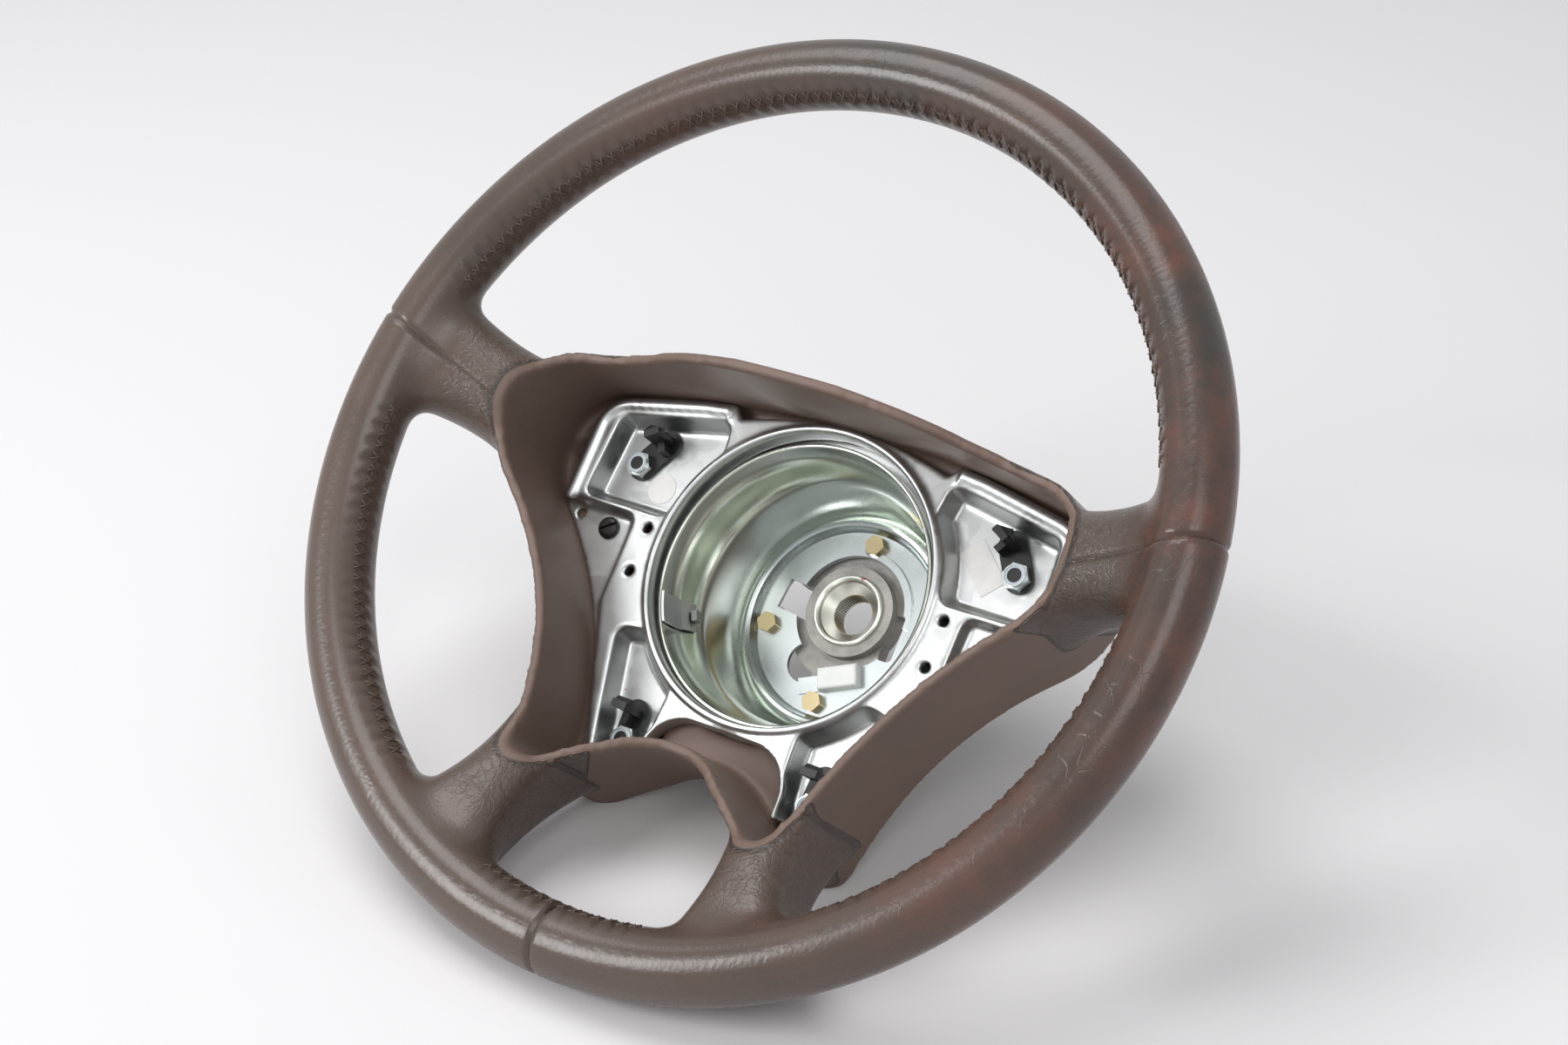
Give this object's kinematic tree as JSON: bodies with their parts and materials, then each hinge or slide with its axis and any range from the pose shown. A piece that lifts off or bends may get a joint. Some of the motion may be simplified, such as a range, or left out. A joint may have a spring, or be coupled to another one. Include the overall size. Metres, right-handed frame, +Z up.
{
  "type": "car steering wheel",
  "caption": "Four-spoke leather-covered car steering wheel with an open hub: pressed carrier plate, stepped absorber pot and splined boss.",
  "frame": {"origin": "on the column axis at the back face of the boss", "axes": "+X to the driver's right, +Y from the driver towards the column, +Z up with the wheel straight ahead"},
  "size_m": [0.388, 0.147, 0.388],
  "materials": {
    "leather": "worn, satin with polished patches",
    "moulded_foam": "matt, fine moulded grain",
    "galvanised": "satin galvanised",
    "yellow_zinc": "glossy yellow-green zinc",
    "blue_zinc": "bluish zinc",
    "gold_zinc": "gold passivated zinc",
    "cast": "rough as cast",
    "machined": "turned, slightly stained",
    "steel_dark": "dark oxide",
    "black_plastic": "matt black",
    "nylon": "white nylon",
    "white_paper": "matt paper"
  },
  "bodies": {
    "root": {"rim_armature": "steel_dark", "padded_body": "moulded_foam", "leather_upper": "leather", "leather_left": "leather", "leather_right": "leather", "carrier_plate": "galvanised", "pot_flange": "galvanised", "absorber_pot": "yellow_zinc", "base_ring": "blue_zinc", "hub_casting": "cast", "splined_boss": "machined", "base_bolts": "gold_zinc", "pad_studs": "blue_zinc", "pad_nuts": "blue_zinc", "nut_inserts": "nylon", "pad_clip_upper_right": "black_plastic", "pad_clip_upper_left": "black_plastic", "pad_clip_lower_right": "black_plastic", "pad_clip_lower_left": "black_plastic", "plate_screws": "steel_dark", "pot_strap": "galvanised", "strap_clip": "steel_dark", "terminal": "blue_zinc", "terminal_sleeve": "nylon", "round_sticker": "white_paper", "paper_label": "white_paper"}
  },
  "joints": []
}
